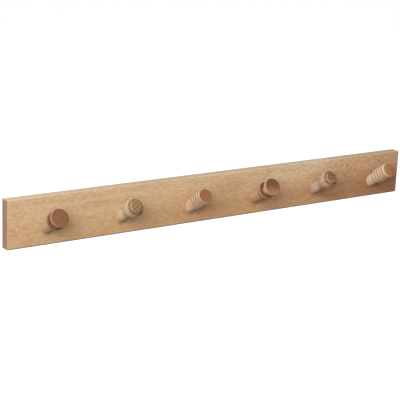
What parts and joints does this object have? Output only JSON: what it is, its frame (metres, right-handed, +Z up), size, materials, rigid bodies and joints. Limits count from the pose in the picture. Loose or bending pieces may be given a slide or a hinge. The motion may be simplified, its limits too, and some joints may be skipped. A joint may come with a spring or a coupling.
{
  "type": "peg rail",
  "caption": "Beech wall rail with slanting turned pegs in three repeating patterns, hung from keyhole plates let into its back.",
  "frame": {"origin": "centre of the board's back face, where it lies against the wall", "axes": "+X along the rail to the right of someone facing it, +Y into the wall, +Z up"},
  "size_m": [0.82, 0.0729, 0.08],
  "materials": {
    "beech_board": "clear satin lacquer, fine open grain",
    "beech_pegs": "clear satin lacquer, darker end grain on the front faces",
    "zinc_plate": "bright zinc plated, slightly mottled",
    "screw_steel": "zinc plated"
  },
  "bodies": {
    "root": {"rail_board": "beech_board", "peg_1_disc": "beech_pegs", "peg_2_waisted": "beech_pegs", "peg_3_ribbed": "beech_pegs", "peg_4_disc": "beech_pegs", "peg_5_waisted": "beech_pegs", "peg_6_ribbed": "beech_pegs", "peg_screw_1": "screw_steel", "peg_screw_2": "screw_steel", "peg_screw_3": "screw_steel", "peg_screw_4": "screw_steel", "peg_screw_5": "screw_steel", "peg_screw_6": "screw_steel", "hanger_plate_left": "zinc_plate", "hanger_plate_right": "zinc_plate", "hanger_screw_left_lower": "screw_steel", "hanger_screw_left_upper": "screw_steel", "hanger_screw_right_lower": "screw_steel", "hanger_screw_right_upper": "screw_steel"}
  },
  "joints": []
}
